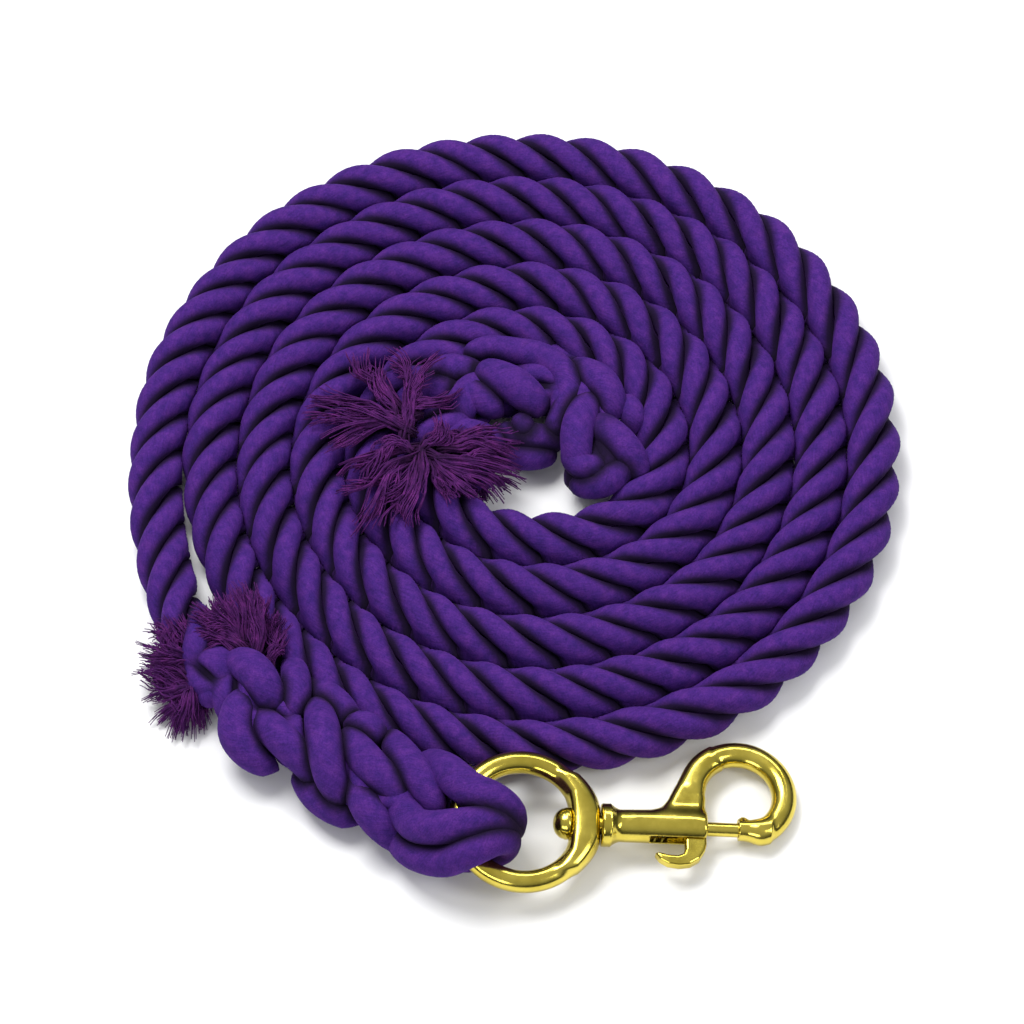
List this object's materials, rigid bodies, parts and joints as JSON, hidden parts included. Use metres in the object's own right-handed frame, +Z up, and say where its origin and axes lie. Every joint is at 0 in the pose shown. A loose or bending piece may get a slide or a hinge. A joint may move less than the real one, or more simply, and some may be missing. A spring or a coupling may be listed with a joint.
{
  "type": "lead rope",
  "caption": "Laid cotton horse lead rope in a flat coil, with an eye splice on a swivel-eye bolt snap and a back splice with a frayed tassel.",
  "frame": {"origin": "middle of the footprint of the coiled rope with its snap, on the ground it lies on", "axes": "+Z up, +X along the bolt snap from its swivel towards its hook, +Y from the snap across the coil"},
  "size_m": [0.2808, 0.3218, 0.0344],
  "materials": {
    "cotton": "deep purple dyed cotton strands, three-strand laid, matt with fine loose fibre",
    "frayed_cotton": "loose frayed yarns of the same cotton, redder and fuzzier than the rope",
    "brass": "polished cast brass",
    "spring_steel": "drawn spring wire"
  },
  "bodies": {
    "rope": {"rope_coil": "cotton", "rope_lead": "cotton", "eye_splice": "cotton", "eye_bight": "cotton", "back_splice": "cotton", "crown_knot": "cotton", "eye_splice_end_1": "frayed_cotton", "eye_splice_end_2": "frayed_cotton", "eye_splice_end_3": "frayed_cotton", "back_splice_end_1": "frayed_cotton", "back_splice_end_2": "frayed_cotton", "back_splice_end_3": "frayed_cotton"},
    "swivel_eye": {"swivel_eye": "brass"},
    "snap": {"snap_body": "brass", "swivel_pin": "brass", "plunger_spring": "spring_steel"},
    "plunger": {"plunger": "brass", "thumb_lever": "brass"}
  },
  "joints": [
    {"name": "eye_tilt", "type": "hinge", "parent": "rope", "child": "swivel_eye", "pos_m": [-0.01947, -0.13543, 0.01793], "axis": [-0.0025, -0.985, -0.1725], "range_deg": [0, 70]},
    {"name": "swivel", "type": "hinge", "parent": "swivel_eye", "child": "snap", "pos_m": [0.02464, -0.13466, 0.0129], "axis": [0.9934, 0.0173, -0.1132], "continuous": true},
    {"name": "plunger_slide", "type": "slide", "parent": "snap", "child": "plunger", "axis": [-0.9934, -0.0173, 0.1132], "range_m": [0, 0.012], "stiffness_N_per_m": 400, "springref_m": -0.02, "deforming": ["plunger_spring"]}
  ]
}
